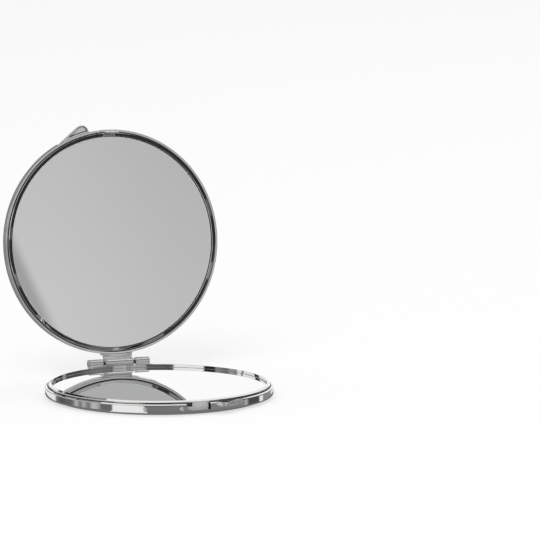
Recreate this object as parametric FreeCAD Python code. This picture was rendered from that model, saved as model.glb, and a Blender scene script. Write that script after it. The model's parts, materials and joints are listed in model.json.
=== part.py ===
"""Round pocket compact mirror: two metal halves on a pinned hinge, each with a mirror inside.

Millimetres, +Z up. The origin is the centre of the base's underside, and the hinge is at +Y.
Each half is drawn in its own frame: the parting plane is at zero height, heights count outwards
to the outer face, and the front is at -Y. The lid and the base are then turned into place.
"""
import FreeCAD, Part
import math
import os

from FreeCAD import Vector

# Driving dimensions: the case
case_radius = 35.0
half_thickness = 4.6
closing_gap = 0.1
open_angle = 97.0

# The shell of each half
wall_thickness = 0.6
wall_edge_drop = 1.0
wall_edge_rounding = 0.2
web_thickness = 0.6
inlay_recess = 0.8
crest_width = 1.0
middle_width = 1.05
shoulder_width = 1.4
terrace_drop = 0.38
terrace_rounding = 0.3
shoulder_rounding = 0.6
terrace_foot_rounding = 0.05
crest_inner_rounding = 0.15
inlay_clearance = 0.15

# The bezel, mirror and pad of each half
bezel_gap = 0.35
bezel_leg = 0.4
bezel_lip = 0.6
bezel_rounding = 0.45
bezel_split_gap = 0.25
bezel_split_place = 3.7
mirror_clearance = 0.05
mirror_thickness = 1.25
mirror_bevel_width = 1.0
mirror_bevel_drop = 0.15
pad_thickness = 0.9
pad_margin = 1.1

# The inlays
glue_thickness = 0.1
glue_margin = 0.4
print_thickness = 0.3
dome_edge = 0.15
dome_rise = 0.2
plate_rounding = 0.2

# The hinge
axis_offset = 2.7
barrel_radius = 1.4
pin_radius = 0.6
pin_running_clearance = 0.05
pin_grip_clearance = 0.02
centre_knuckle_length = 9.2
side_knuckle_length = 4.6
knuckle_gap = 0.75
leaf_thickness = 1.05
foot_thickness = 0.6
foot_drop = 0.2
foot_flare = 0.35
pin_head_radius = 0.95
pin_head_rise = 0.3

# The thumb tabs
tab_root = 15.6
tab_end = 6.0
tab_peak = 7.2
tab_peak_reach = 4.0
tab_rounding = 2.2
tab_thickness = 1.4
tab_edge_drop = 0.9
tab_rim = 0.6
tab_pocket = 0.5

# The snap catch
catch_centre = 0.7
notch_width = 7.7
notch_offset = 0.2
notch_floor_margin = 0.15
tongue_width = 5.2
tongue_thickness = 0.3
tongue_inset = 0.1
tongue_top_drop = 0.55
joggle_length = 1.4
strip_thickness = 0.25
strip_wall_gap = 0.02
strip_length = 18.0
strip_top_drop = 1.9
hook_width = 4.0
hook_thickness = 0.28
hook_root_margin = 0.3
hook_reach = 2.35
barb_height = 0.6
barb_rise = 0.3
barb_tip_margin = 0.3
groove_clearance = 0.12
groove_depth = 0.16
lid_notch_width = 4.8
lid_notch_depth = 0.8
rivet_places = (5.1, 16.4)
rivet_radius = 0.4
rivet_clearance = 0.02
rivet_head_radius = 0.65
rivet_head_rise = 0.3

# One overrun serves every cut, and one tolerance tells points apart
overrun = 1.0
point_tolerance = 0.000001

# Worked out from the above
wall_inner_radius = case_radius - wall_thickness
shoulder_height = half_thickness - 2 * terrace_drop
middle_height = half_thickness - terrace_drop
shoulder_inner_radius = case_radius - shoulder_width
middle_inner_radius = shoulder_inner_radius - middle_width
recess_radius = middle_inner_radius - crest_width
recess_height = half_thickness - inlay_recess
floor_height = recess_height - web_thickness
inlay_radius = recess_radius - inlay_clearance
bezel_outer_radius = wall_inner_radius - bezel_gap
bezel_inner_radius = bezel_outer_radius - bezel_leg
mirror_radius = bezel_inner_radius - mirror_clearance
bezel_opening_radius = mirror_radius - bezel_lip
mirror_back_height = floor_height - pad_thickness
mirror_face_height = mirror_back_height - mirror_thickness
axis_y = case_radius + axis_offset
axis_point = Vector(0, axis_y, half_thickness)
hinge_length = centre_knuckle_length + 2 * (knuckle_gap + side_knuckle_length)
strip_outer_radius = wall_inner_radius - strip_wall_gap
strip_inner_radius = strip_outer_radius - strip_thickness
tongue_outer_radius = case_radius - tongue_inset
tongue_inner_radius = tongue_outer_radius - tongue_thickness
notch_depth_height = floor_height - notch_floor_margin
rivet_height = (strip_top_drop + notch_depth_height) / 2

ALONG_X = Vector(1, 0, 0)
ALONG_Y = Vector(0, 1, 0)
ALONG_Z = Vector(0, 0, 1)
ORIGIN = Vector(0, 0, 0)
FULL_TURN = 360
HALF_TURN = 180


# Outlines and plain forms

def in_section(point):
    """A drawn point (radius, height) as a point of the lathe section."""
    return Vector(point.x, 0, point.y)


def in_plan(point):
    """A drawn point (x, y) as a point of the parting plane."""
    return Vector(point.x, point.y, 0)


def outline(corners, place):
    """Closed wire through (u, v, rounding) corners. A rounding of zero keeps its corner sharp."""
    points = [Vector(u, v, 0) for u, v, _ in corners]
    bends = []
    for i, (_, _, rounding) in enumerate(corners):
        here = points[i]
        back = (points[i - 1] - here).normalize()
        ahead = (points[(i + 1) % len(points)] - here).normalize()
        if rounding == 0:
            bends.append((here, None, here))
            continue
        half_angle = back.getAngle(ahead) / 2
        reach = rounding / math.tan(half_angle)
        to_arc = rounding / math.sin(half_angle) - rounding
        middle = here + (back + ahead).normalize() * to_arc
        bends.append((here + back * reach, middle, here + ahead * reach))
    edges = []
    for i, (start, middle, end) in enumerate(bends):
        if middle is not None:
            edges.append(Part.Arc(place(start), place(middle), place(end)).toShape())
        following = bends[(i + 1) % len(bends)][0]
        if not end.isEqual(following, point_tolerance):
            edges.append(Part.LineSegment(place(end), place(following)).toShape())
    return Part.Wire(edges)


def lathe(corners):
    """Solid of revolution about Z from (radius, height, rounding) corners."""
    return Part.Face(outline(corners, in_section)).revolve(ORIGIN, ALONG_Z, FULL_TURN)


def disc(radius, low, high):
    """Round disc about Z between two heights."""
    return Part.makeCylinder(radius, high - low, Vector(0, 0, low))


def block(x_low, x_high, y_low, y_high, low, high):
    """Box between two corners."""
    return Part.makeBox(x_high - x_low, y_high - y_low, high - low, Vector(x_low, y_low, low))


def rod(radius, x_low, x_high):
    """Round rod on the hinge axis of a half's own frame."""
    return Part.makeCylinder(radius, x_high - x_low, Vector(x_low, axis_y, 0), ALONG_X)


def round_the_front(radius, arc_length):
    """Point at a radius, at a distance along the case's front measured from the middle towards +X."""
    angle = arc_length / case_radius
    return Vector(radius * math.sin(angle), -radius * math.cos(angle), 0)


def front_arc(radius, start, end):
    """Arc about Z between two distances along the case's front."""
    points = [round_the_front(radius, s) for s in (start, (start + end) / 2, end)]
    return Part.Arc(*points).toShape()


# Pieces that both halves share

def shell(notch):
    """Pan with a terraced outer rim, a recess for the inlay and a notched side wall."""
    corners = [
        (0, floor_height, 0),
        (wall_inner_radius, floor_height, 0),
        (wall_inner_radius, wall_edge_drop, wall_edge_rounding),
        (case_radius, wall_edge_drop, wall_edge_rounding),
        (case_radius, shoulder_height, shoulder_rounding),
        (shoulder_inner_radius, shoulder_height, terrace_foot_rounding),
        (shoulder_inner_radius, middle_height, terrace_rounding),
        (middle_inner_radius, middle_height, terrace_foot_rounding),
        (middle_inner_radius, half_thickness, terrace_rounding),
        (recess_radius, half_thickness, crest_inner_rounding),
        (recess_radius, recess_height, 0),
        (0, recess_height, 0),
    ]
    return lathe(corners).cut(notch)


def bezel():
    """Rolled ring that stands inside the wall over the mirror's edge, with a butt gap."""
    corners = [
        (bezel_opening_radius, mirror_face_height, 0),
        (bezel_opening_radius, closing_gap, bezel_rounding),
        (bezel_outer_radius, closing_gap, bezel_rounding),
        (bezel_outer_radius, floor_height, 0),
        (bezel_inner_radius, floor_height, 0),
        (bezel_inner_radius, mirror_face_height, 0),
    ]
    x_low = -bezel_split_place - bezel_split_gap / 2
    split = block(x_low, x_low + bezel_split_gap, -case_radius, 0, 0, half_thickness)
    return lathe(corners).cut(split)


def mirror():
    """Silvered glass disc with a ground bevel on its face's edge."""
    corners = [
        (0, mirror_face_height, 0),
        (mirror_radius - mirror_bevel_width, mirror_face_height, 0),
        (mirror_radius, mirror_face_height + mirror_bevel_drop, 0),
        (mirror_radius, mirror_back_height, 0),
        (0, mirror_back_height, 0),
    ]
    return lathe(corners)


def mirror_pad():
    """Foam tape disc between the glass and the shell."""
    return disc(mirror_radius - pad_margin, mirror_back_height, floor_height)


def inlay_glue():
    """Adhesive film under an outer inlay."""
    return disc(inlay_radius - glue_margin, recess_height, recess_height + glue_thickness)


def thumb_tab():
    """Wedge-shaped ear on the wall, with a pocket for the nail in its inner face."""
    root = Vector(-tab_root, -math.sqrt(case_radius ** 2 - tab_root ** 2), 0)
    end = Vector(-tab_end, -math.sqrt(case_radius ** 2 - tab_end ** 2), 0)
    peak_radius = case_radius + tab_peak_reach
    peak = Vector(-tab_peak, -math.sqrt(peak_radius ** 2 - tab_peak ** 2), 0)
    corners = [(root.x, root.y, 0), (peak.x, peak.y, tab_rounding), (end.x, end.y, 0), (0, 0, 0)]
    case_disc = Part.Face(Part.Wire(Part.makeCircle(case_radius)))
    plan = Part.Face(outline(corners, in_plan)).cut(case_disc).Faces[0]
    pocket = plan.makeOffset2D(-tab_rim)
    plan.translate(Vector(0, 0, tab_edge_drop))
    pocket.translate(Vector(0, 0, tab_edge_drop))
    ear = plan.extrude(Vector(0, 0, tab_thickness))
    return ear.cut(pocket.extrude(Vector(0, 0, tab_pocket)))


def knuckle(x_low, x_high, bore_radius):
    """Hinge barrel with its leaf and a curved foot that is soldered to the case's wall."""
    foot_low = wall_edge_drop + foot_drop
    foot_high = shoulder_height - shoulder_rounding
    barrel = rod(barrel_radius, x_low, x_high)
    leaf = block(x_low, x_high, 0, axis_y, barrel_radius - leaf_thickness, barrel_radius)
    foot_band = disc(case_radius + foot_thickness, foot_low, foot_high)
    foot_x_low = x_low - foot_flare
    foot_x_high = x_high + foot_flare
    foot = foot_band.common(block(foot_x_low, foot_x_high, 0, axis_y, 0, half_thickness))
    case_core = disc(case_radius, -half_thickness, half_thickness)
    piece = barrel.fuse(leaf).fuse(foot).cut(case_core)
    return piece.cut(rod(bore_radius, x_low - overrun, x_high + overrun)).removeSplitter()


# The lid's own pieces

def wall_gap(x_low, x_high, depth):
    """Cut through the front of the wall, down from the parting plane."""
    return block(x_low, x_high, -case_radius - overrun, -bezel_outer_radius, 0, depth)


def lid_notch():
    """Cut in the lid's wall edge that shows the hook."""
    half_width = lid_notch_width / 2
    depth = wall_edge_drop + lid_notch_depth
    return wall_gap(catch_centre - half_width, catch_centre + half_width, depth)


def print_disc():
    """Printed metal disc in the lid's outer recess."""
    low = recess_height + glue_thickness
    return disc(inlay_radius, low, low + print_thickness)


def print_dome():
    """Clear resin lens over the print."""
    low = recess_height + glue_thickness + print_thickness
    edge = low + dome_edge
    crown = edge + dome_rise
    sphere_radius = (inlay_radius ** 2 + dome_rise ** 2) / (2 * dome_rise)
    midway = inlay_radius / 2
    midway_height = crown - sphere_radius + math.sqrt(sphere_radius ** 2 - midway ** 2)
    crown_point = Vector(0, 0, crown)
    edge_point = Vector(inlay_radius, 0, edge)
    edges = [
        Part.Arc(crown_point, Vector(midway, 0, midway_height), edge_point).toShape(),
        Part.LineSegment(edge_point, Vector(inlay_radius, 0, low)).toShape(),
        Part.LineSegment(Vector(inlay_radius, 0, low), Vector(0, 0, low)).toShape(),
        Part.LineSegment(Vector(0, 0, low), crown_point).toShape(),
    ]
    return Part.Face(Part.Wire(edges)).revolve(ORIGIN, ALONG_Z, FULL_TURN)


def catch_hook():
    """Curved plate soldered inside the lid's wall. Its barb snaps into the spring's groove."""
    x_low = catch_centre - hook_width / 2
    across = block(x_low, x_low + hook_width, -case_radius, 0, -half_thickness, half_thickness)
    inner_radius = wall_inner_radius - hook_thickness
    plate_core = disc(inner_radius, -half_thickness, half_thickness)
    plate = disc(wall_inner_radius, -hook_reach, floor_height - hook_root_margin).cut(plate_core)
    barb_low = -hook_reach + barb_tip_margin
    barb_corners = [
        (inner_radius, barb_low, 0),
        (wall_inner_radius, barb_low, 0),
        (wall_inner_radius + barb_rise, barb_low + barb_height, 0),
        (inner_radius, barb_low + barb_height, 0),
    ]
    return plate.fuse(lathe(barb_corners)).common(across).removeSplitter()


# The base's own pieces

def base_notch():
    """Cut in the base's wall for the spring tongue, with the rivets' holes."""
    x_low = -notch_width / 2 - notch_offset
    gap = wall_gap(x_low, x_low + notch_width, notch_depth_height)
    return gap.fuse(rivet_holes())


def rivet_shanks(radius, inner, outer):
    """Rods through the wall at each rivet, between two radii."""
    rods = []
    for place in rivet_places:
        start = round_the_front(inner, place) + Vector(0, 0, rivet_height)
        outwards = round_the_front(1, place)
        rods.append(Part.makeCylinder(radius, outer - inner, start, outwards))
    return Part.makeCompound(rods)


def rivet_holes():
    """Holes for the rivets, through the strip and the wall."""
    return rivet_shanks(rivet_radius + rivet_clearance, bezel_outer_radius, case_radius + overrun)


def catch_rivets():
    """Two rivets with domed heads that hold the spring to the wall."""
    sphere_radius = (rivet_head_radius ** 2 + rivet_head_rise ** 2) / (2 * rivet_head_rise)
    rivets = []
    shanks = rivet_shanks(rivet_radius, strip_inner_radius, case_radius).Solids
    for place, shank in zip(rivet_places, shanks):
        outwards = round_the_front(1, place)
        seat = round_the_front(case_radius, place) + Vector(0, 0, rivet_height)
        centre = seat + outwards * (rivet_head_rise - sphere_radius)
        room = Part.makeCylinder(rivet_head_radius, rivet_head_rise, seat, outwards)
        head = Part.makeSphere(sphere_radius, centre).common(room)
        rivets.append(shank.fuse(head).removeSplitter())
    return Part.makeCompound(rivets)


def band(arcs, low, high):
    """Plate from arcs about Z that straight edges join into a loop, between two heights."""
    edges = []
    for arc, following in zip(arcs, arcs[1:] + arcs[:1]):
        end = arc.lastVertex(True).Point
        edges.append(arc)
        edges.append(Part.LineSegment(end, following.firstVertex(True).Point).toShape())
    face = Part.Face(Part.Wire(edges))
    face.translate(Vector(0, 0, low))
    return face.extrude(Vector(0, 0, high - low))


def catch_spring():
    """Spring strip riveted inside the wall. Its joggled end has a groove for the hook."""
    tongue_end = -catch_centre - tongue_width / 2
    tongue_start = tongue_end + tongue_width
    strip_start = tongue_start + joggle_length
    strip_end = strip_start + strip_length
    tongue_outside = front_arc(tongue_outer_radius, tongue_start, tongue_end)
    tongue_inside = front_arc(tongue_inner_radius, tongue_end, tongue_start)
    strip_outside = front_arc(strip_outer_radius, strip_end, strip_start)
    strip_inside = front_arc(strip_inner_radius, strip_start, strip_end)
    loop = [strip_outside, tongue_outside, tongue_inside, strip_inside]
    strip = band(loop, strip_top_drop, notch_depth_height)
    riser = band([tongue_outside, tongue_inside], tongue_top_drop, strip_top_drop)
    return strip.fuse(riser).cut(hook_groove()).cut(rivet_holes()).removeSplitter()


def hook_groove():
    """Room for the groove in the tongue's inner face that the hook's barb snaps into."""
    half_width = hook_width / 2 + groove_clearance
    barb_high = hook_reach - barb_tip_margin
    low = barb_high - barb_height - groove_clearance
    high = barb_high + groove_clearance
    x_low = -catch_centre - half_width
    across = block(x_low, x_low + 2 * half_width, -case_radius, 0, low, high)
    return disc(tongue_inner_radius + groove_depth, low, high).common(across)


def back_plate():
    """Plain metal disc in the base's outer recess, flush with the rim's crest."""
    corners = [
        (0, recess_height + glue_thickness, 0),
        (inlay_radius, recess_height + glue_thickness, 0),
        (inlay_radius, half_thickness, plate_rounding),
        (0, half_thickness, 0),
    ]
    return lathe(corners)


def hinge_pin():
    """Pin with a peened dome on each end."""
    sphere_radius = (pin_head_radius ** 2 + pin_head_rise ** 2) / (2 * pin_head_rise)
    end = hinge_length / 2
    pin = rod(pin_radius, -end, end)
    for side in (-1, 1):
        low, high = sorted((side * end, side * (end + pin_head_rise)))
        centre = Vector(side * (end + pin_head_rise - sphere_radius), axis_y, 0)
        pin = pin.fuse(Part.makeSphere(sphere_radius, centre).common(rod(pin_head_radius, low, high)))
    return pin.removeSplitter()


# Placing and writing

def onto_base(shape):
    """From a half's own frame to the base, which lies on its outer face."""
    placed = shape.copy()
    placed.rotate(ORIGIN, ALONG_Y, HALF_TURN)
    placed.translate(Vector(0, 0, half_thickness))
    return placed


def onto_lid(shape):
    """From a half's own frame to the lid, which stands open about the hinge."""
    placed = shape.copy()
    placed.translate(Vector(0, 0, half_thickness))
    placed.rotate(axis_point, ALONG_X, -open_angle)
    return placed


def side_knuckle(side):
    """One of the base's two knuckles, on the -X or +X side of the lid's."""
    near = centre_knuckle_length / 2 + knuckle_gap
    low, high = sorted((side * near, side * (near + side_knuckle_length)))
    return knuckle(low, high, pin_radius + pin_grip_clearance)


def all_pieces():
    """Every piece by the name of its node."""
    half_centre = centre_knuckle_length / 2
    lid = {
        "lid_shell": shell(lid_notch()),
        "lid_bezel": bezel(),
        "lid_mirror": mirror(),
        "lid_mirror_pad": mirror_pad(),
        "lid_print_glue": inlay_glue(),
        "lid_print_disc": print_disc(),
        "lid_print_dome": print_dome(),
        "lid_thumb_tab": thumb_tab(),
        "lid_catch_hook": catch_hook(),
        "lid_hinge_knuckle": knuckle(-half_centre, half_centre, pin_radius + pin_running_clearance),
    }
    base = {
        "base_shell": shell(base_notch()),
        "base_bezel": bezel(),
        "base_mirror": mirror(),
        "base_mirror_pad": mirror_pad(),
        "base_plate_glue": inlay_glue(),
        "base_back_plate": back_plate(),
        "base_thumb_tab": thumb_tab(),
        "base_catch_spring": catch_spring(),
        "base_catch_rivets": catch_rivets(),
        "base_knuckle_left": side_knuckle(1),
        "base_knuckle_right": side_knuckle(-1),
        "hinge_pin": hinge_pin(),
    }
    placed = {name: onto_lid(shape) for name, shape in lid.items()}
    placed.update({name: onto_base(shape) for name, shape in base.items()})
    return placed


def main():
    os.makedirs("parts", exist_ok=True)
    for name, shape in all_pieces().items():
        valid = all(solid.isValid() for solid in shape.Solids)
        state = "valid" if valid else "NOT VALID"
        print(name, len(shape.Solids), "solids", round(shape.Volume, 2), "mm3", state)
        shape.exportStep(os.path.join("parts", name + ".step"))


main()
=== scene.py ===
# %% [markdown]
# # A round compact mirror
# A pocket compact is two shallow metal pans on a hinge, each with a mirror inside.
# The solids already hold every size, so this lesson reads its sizes from them and gives
# the pieces what solids lack: smooth turned surfaces, rounded edges and finishes.

# %% Load the frame
import bmesh
import bpy
import json
import math
from mathutils import Matrix, Vector

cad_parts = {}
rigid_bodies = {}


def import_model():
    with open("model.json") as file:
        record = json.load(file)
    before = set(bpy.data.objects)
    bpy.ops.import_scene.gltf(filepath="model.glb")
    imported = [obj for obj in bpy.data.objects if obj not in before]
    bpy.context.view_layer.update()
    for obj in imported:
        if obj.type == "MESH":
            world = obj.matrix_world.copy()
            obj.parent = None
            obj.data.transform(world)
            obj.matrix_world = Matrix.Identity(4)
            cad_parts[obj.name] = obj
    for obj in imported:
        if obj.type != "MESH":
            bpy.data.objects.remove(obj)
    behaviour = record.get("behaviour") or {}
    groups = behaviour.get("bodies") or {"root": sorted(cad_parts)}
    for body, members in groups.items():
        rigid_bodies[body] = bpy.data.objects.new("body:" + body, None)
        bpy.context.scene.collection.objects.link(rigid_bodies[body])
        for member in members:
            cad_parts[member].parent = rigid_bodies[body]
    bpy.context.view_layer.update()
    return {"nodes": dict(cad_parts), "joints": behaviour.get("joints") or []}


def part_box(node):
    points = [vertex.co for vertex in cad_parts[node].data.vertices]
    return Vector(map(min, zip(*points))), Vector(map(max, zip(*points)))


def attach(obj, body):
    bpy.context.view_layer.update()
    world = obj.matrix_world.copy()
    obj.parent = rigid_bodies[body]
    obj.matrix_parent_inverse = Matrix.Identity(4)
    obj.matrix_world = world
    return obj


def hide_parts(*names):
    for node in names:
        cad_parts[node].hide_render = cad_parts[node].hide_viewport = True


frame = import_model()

# %% [markdown]
# Both halves come from the same tools, so one half is described once, in a frame of its own:
# the parting plane is at height zero, heights grow towards the outer face, and the front is at -Y.
# The base is that half turned over, and the lid is that half swung open about the hinge.

# %% Sizes from the frame
MM = 0.001
hinge = frame["joints"][0]
axis_y, half_thickness = hinge["pos_m"][1], hinge["pos_m"][2]
open_angle = -math.radians(hinge["range_deg"][0])


def radius_of(node):
    """Outer radius of a round node that lies flat in the base."""
    low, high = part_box(node)
    return (high.x - low.x) / 2


def heights_of(node):
    """A base node's nearest and farthest height from the parting plane."""
    low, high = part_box(node)
    return half_thickness - high.z, half_thickness - low.z


case_radius = radius_of("base_shell")
wall_edge = heights_of("base_shell")[0]
bezel_top, floor_height = heights_of("base_bezel")
bezel_radius = radius_of("base_bezel")
mirror_radius = radius_of("base_mirror")
mirror_face, mirror_back = heights_of("base_mirror")
inlay_radius = radius_of("base_back_plate")
recess_height, inlay_low = heights_of("base_plate_glue")
barrel_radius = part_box("base_knuckle_left")[1].z - half_thickness
print(f"case radius {case_radius / MM:.2f} mm, half thickness {half_thickness / MM:.2f} mm")

# %% From a half to the lid and the base
axis_point = Vector((0, axis_y, half_thickness))
lift = Matrix.Translation((0, 0, half_thickness))
to_base = lift @ Matrix.Rotation(math.pi, 4, "Y")
swing = Matrix.Rotation(-open_angle, 4, "X")
to_lid = Matrix.Translation(axis_point) @ swing @ Matrix.Translation(-axis_point) @ lift
places = {"lid": to_lid, "base": to_base}
print(f"lid stands open at {math.degrees(open_angle):.0f} degrees")

# %% [markdown]
# Finishes are written as sums. `Wire` holds one socket and turns Python's operators into Math nodes,
# so `1 - mask` works as it reads. Every other node comes from `Sheet.node`, which takes the node's
# type, its settings and the values or wires of its inputs.

# %% Shader sums
class Wire:
    """A socket that can be used in Python sums."""

    def __init__(self, tree, socket):
        self.tree = tree
        self.socket = socket

    def math(self, operation, *others):
        """A Math node on this wire and other wires or numbers."""
        node = self.tree.nodes.new("ShaderNodeMath")
        node.operation = operation
        for socket, value in zip(node.inputs, (self, *others)):
            feed(self.tree, socket, value)
        return Wire(self.tree, node.outputs[0])

    def also(self, name):
        """Another output of the node that this wire comes from."""
        return Wire(self.tree, find(self.socket.node.outputs, name))

    def __add__(self, other):
        return self.math("ADD", other)

    def __sub__(self, other):
        return self.math("SUBTRACT", other)

    def __rsub__(self, other):
        return self.math("MULTIPLY_ADD", -1, other)

    def __mul__(self, other):
        return self.math("MULTIPLY", other)

    def __truediv__(self, other):
        return self.math("DIVIDE", other)

    def __pow__(self, other):
        return self.math("POWER", other)

    def __abs__(self):
        return self.math("ABSOLUTE")

    __radd__ = __add__
    __rmul__ = __mul__


def find(sockets, name):
    """A socket by its place, identifier or name, where an underscore stands for a space."""
    if isinstance(name, int):
        return sockets[name]
    for socket in sockets:
        if socket.identifier == name:
            return socket
    return sockets[name.replace("_", " ")]


def feed(tree, socket, value):
    """Links a wire to a socket, or sets a plain value on it."""
    if isinstance(value, Wire):
        tree.links.new(value.socket, socket)
    elif socket.type == "RGBA" and len(value) == 3:
        socket.default_value = (*value, 1)
    else:
        socket.default_value = value


class Sheet:
    """A node tree with one method for all its nodes."""

    def __init__(self, tree):
        self.tree = tree
        tree.nodes.clear()

    def node(self, kind, settings=None, out=0, **inputs):
        """One node: its type, its settings, the output that is wanted and its inputs."""
        node = self.tree.nodes.new(kind)
        for name, value in (settings or {}).items():
            if name == "stops":
                set_stops(node.color_ramp, value)
            else:
                setattr(node, name, value)
        for name, value in inputs.items():
            feed(self.tree, find(node.inputs, name), value)
        return Wire(self.tree, find(node.outputs, out))

    def ramp(self, value, stops):
        """Colour ramp over a value, from (place, colour) stops."""
        return self.node("ShaderNodeValToRGB", {"stops": stops}, Fac=value)

    def step(self, value, low, high):
        """0 below low and 1 above high, with a soft climb between."""
        settings = {"interpolation_type": "SMOOTHSTEP"}
        return self.node("ShaderNodeMapRange", settings, Value=value, From_Min=low, From_Max=high)

    def mix(self, share, first, second):
        """Colour mix of two colours."""
        inputs = {"Factor_Float": share, "A_Color": first, "B_Color": second}
        return self.node("ShaderNodeMix", {"data_type": "RGBA"}, "Result_Color", **inputs)

    def vector(self, operation, first, second=(0, 0, 0), out=0):
        """A Vector Math node on two vectors."""
        inputs = {"Vector": first, "Vector_001": second}
        return self.node("ShaderNodeVectorMath", {"operation": operation}, out, **inputs)

    def length(self, vector):
        """Length of a vector."""
        return self.vector("LENGTH", vector, out="Value")


def set_stops(ramp, stops):
    """Fills a colour ramp from its (place, colour) stops."""
    while len(ramp.elements) < len(stops):
        ramp.elements.new(1)
    for element, (place, colour) in zip(ramp.elements, stops):
        element.position = place
        element.color = (*colour, 1)


class Finish(Sheet):
    """A material around one Principled shader."""

    def __init__(self, name):
        self.material = bpy.data.materials.new(name)
        self.material.use_nodes = True
        super().__init__(self.material.node_tree)
        self.shader = self.tree.nodes.new("ShaderNodeBsdfPrincipled")
        self.output = self.tree.nodes.new("ShaderNodeOutputMaterial")
        self.tree.links.new(self.shader.outputs[0], self.output.inputs["Surface"])

    def set(self, **inputs):
        """Sets inputs of the Principled shader, and gives the material."""
        for name, value in inputs.items():
            feed(self.tree, find(self.shader.inputs, name), value)
        return self.material

    def surface(self, shader):
        """Puts another shader on the surface, and gives the material."""
        self.tree.links.new(shader.socket, self.output.inputs["Surface"])
        return self.material

    def place(self):
        return self.node("ShaderNodeTexCoord", None, "Object")

    def noise(self, place, scale, detail=2.0, roughness=0.5, stretch=None):
        """Noise over a place, stretched if asked."""
        if stretch:
            place = self.node("ShaderNodeMapping", Vector=place, Scale=stretch)
        inputs = {"Vector": place, "Scale": scale, "Detail": detail, "Roughness": roughness}
        return self.node("ShaderNodeTexNoise", **inputs)

    def patches(self, low, high, **settings):
        """Soft patches where a noise in object space climbs from low to high."""
        return self.step(self.noise(self.place(), **settings), low, high)

    def bump(self, height, strength, distance):
        return self.node("ShaderNodeBump", Height=height, Strength=strength, Distance=distance)


print("finishes are written with Wire, Sheet and Finish")

# %% [markdown]
# Bright chrome plate is nearly a mirror. What tells it from a perfect one is the faint ripple of the
# polished metal underneath, a few hairlines from handling and patches of skin oil that dull it a little.
# The hinge and the cast tabs are tumbled instead of buffed, so their plate is part satin.

# %% Chrome plate
CHROME = (0.80, 0.795, 0.79)


def chrome(name, dull, ripple, bright=1.0):
    """Chrome plate with ripple, hairlines and faint handling marks, satin where it is less bright."""
    finish = Finish(name)
    place = finish.place()
    waves = finish.noise(place, scale=260, detail=1.0)
    hairs = finish.noise(place, scale=900, detail=2.0, stretch=(1, 14, 1))
    marks = finish.patches(0.5, 0.72, scale=70, detail=3.0)
    shade = finish.mix(marks * 0.25, CHROME, [0.9 * c for c in CHROME])
    height = waves * 0.8 + hairs * 0.05
    return finish.set(
        Base_Color=shade,
        Metallic=bright,
        Roughness=marks * 0.05 + hairs * 0.02 + dull,
        Normal=finish.bump(height, ripple, 0.02 * MM),
    )


case_chrome = chrome("case_chrome", dull=0.015, ripple=0.25)
hinge_chrome = chrome("hinge_chrome", dull=0.05, ripple=0.5, bright=0.72)
cast_chrome = chrome("cast_chrome", dull=0.08, ripple=1.0, bright=0.7)
print("chrome:", case_chrome.name, hinge_chrome.name, cast_chrome.name)

# %% [markdown]
# The mirrors are silvered glass. They are flat, so they carry no ripple, only a trace of dust and smear.
# The narrow ground bevel at the edge is painted dark, as painted shade, and the frosted line where it
# starts is painted pale, as a painted highlight.

# %% Looking glass
def looking_glass():
    """Silvered glass with faint smears and dust."""
    finish = Finish("looking_glass")
    smear = finish.patches(0.55, 0.8, scale=45, detail=4.0, stretch=(1, 1, 0.4))
    dust = finish.patches(0.8, 0.88, scale=2600, detail=0.0)
    shade = finish.mix(smear * 0.12 + dust * 0.1, (0.93, 0.935, 0.935), (0.84, 0.845, 0.85))
    return finish.set(Base_Color=shade, Metallic=1.0, Roughness=smear * 0.01 + dust * 0.05 + 0.002)


def painted_edge_glass(name, dark, light, dull):
    """Ground edge of the glass, with the grain of the wheel, in the dark or pale colours given for painted
    shade and painted highlight.
    """
    finish = Finish(name)
    grain = finish.noise(finish.place(), scale=4000, detail=2.0)
    return finish.set(Base_Color=finish.mix(grain, dark, light), Roughness=grain * 0.15 + dull)


glass_finish = looking_glass()
# Painted shade: the bevel is near-black glass.
bevel_shade_finish = painted_edge_glass("ground_bevel", (0.02, 0.022, 0.022), (0.05, 0.055, 0.055), dull=0.1)
# Painted highlight: the line where the bevel starts is pale.
arris_highlight_finish = painted_edge_glass("ground_arris", (0.78, 0.8, 0.8), (0.9, 0.92, 0.92), dull=0.35)
print("glass:", glass_finish.name, bevel_shade_finish.name, arris_highlight_finish.name)

# %% [markdown]
# Spring strip and pin wire are bright steel with the lines of rolling and drawing in them, and the disc
# under the base is polished in circles. Foam tape and adhesive film lie inside, and get a plain look of
# their own for when the case is taken apart.

# %% Steel, foam and film
def lined_steel(name, colour, stretch, dull, bright=1.0):
    """Steel with fine lines across one direction, duller where it is less bright."""
    finish = Finish(name)
    lines = finish.noise(finish.place(), scale=1500, detail=3.0, stretch=stretch)
    shade = finish.mix(lines, [0.82 * c for c in colour], colour)
    normal = finish.bump(lines, 0.2, 0.01 * MM)
    return finish.set(Base_Color=shade, Metallic=bright, Roughness=lines * 0.16 + dull, Normal=normal)


def turned_steel():
    """Disc polished in fine circles."""
    finish = Finish("turned_steel")
    distance = finish.length(finish.vector("MULTIPLY", finish.place(), (1, 1, 0)))
    settings = {"noise_dimensions": "1D"}
    rings = finish.node("ShaderNodeTexNoise", settings, W=distance, Scale=2600.0, Detail=2.0)
    marks = finish.patches(0.5, 0.75, scale=60, detail=3.0)
    shade = finish.mix(rings, (0.62, 0.62, 0.62), (0.78, 0.78, 0.775))
    normal = finish.bump(rings, 0.05, 0.01 * MM)
    return finish.set(
        Base_Color=shade, Metallic=1.0, Roughness=rings * 0.1 + marks * 0.08 + 0.1, Normal=normal
    )


def foam_tape():
    """Closed-cell foam, pale and full of small cells."""
    finish = Finish("foam_tape")
    cells = finish.node("ShaderNodeTexVoronoi", Vector=finish.place(), Scale=2200.0)
    shade = finish.mix(cells, (0.72, 0.72, 0.7), (0.88, 0.88, 0.86))
    return finish.set(Base_Color=shade, Roughness=0.85, Normal=finish.bump(cells, 0.6, 0.05 * MM))


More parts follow.
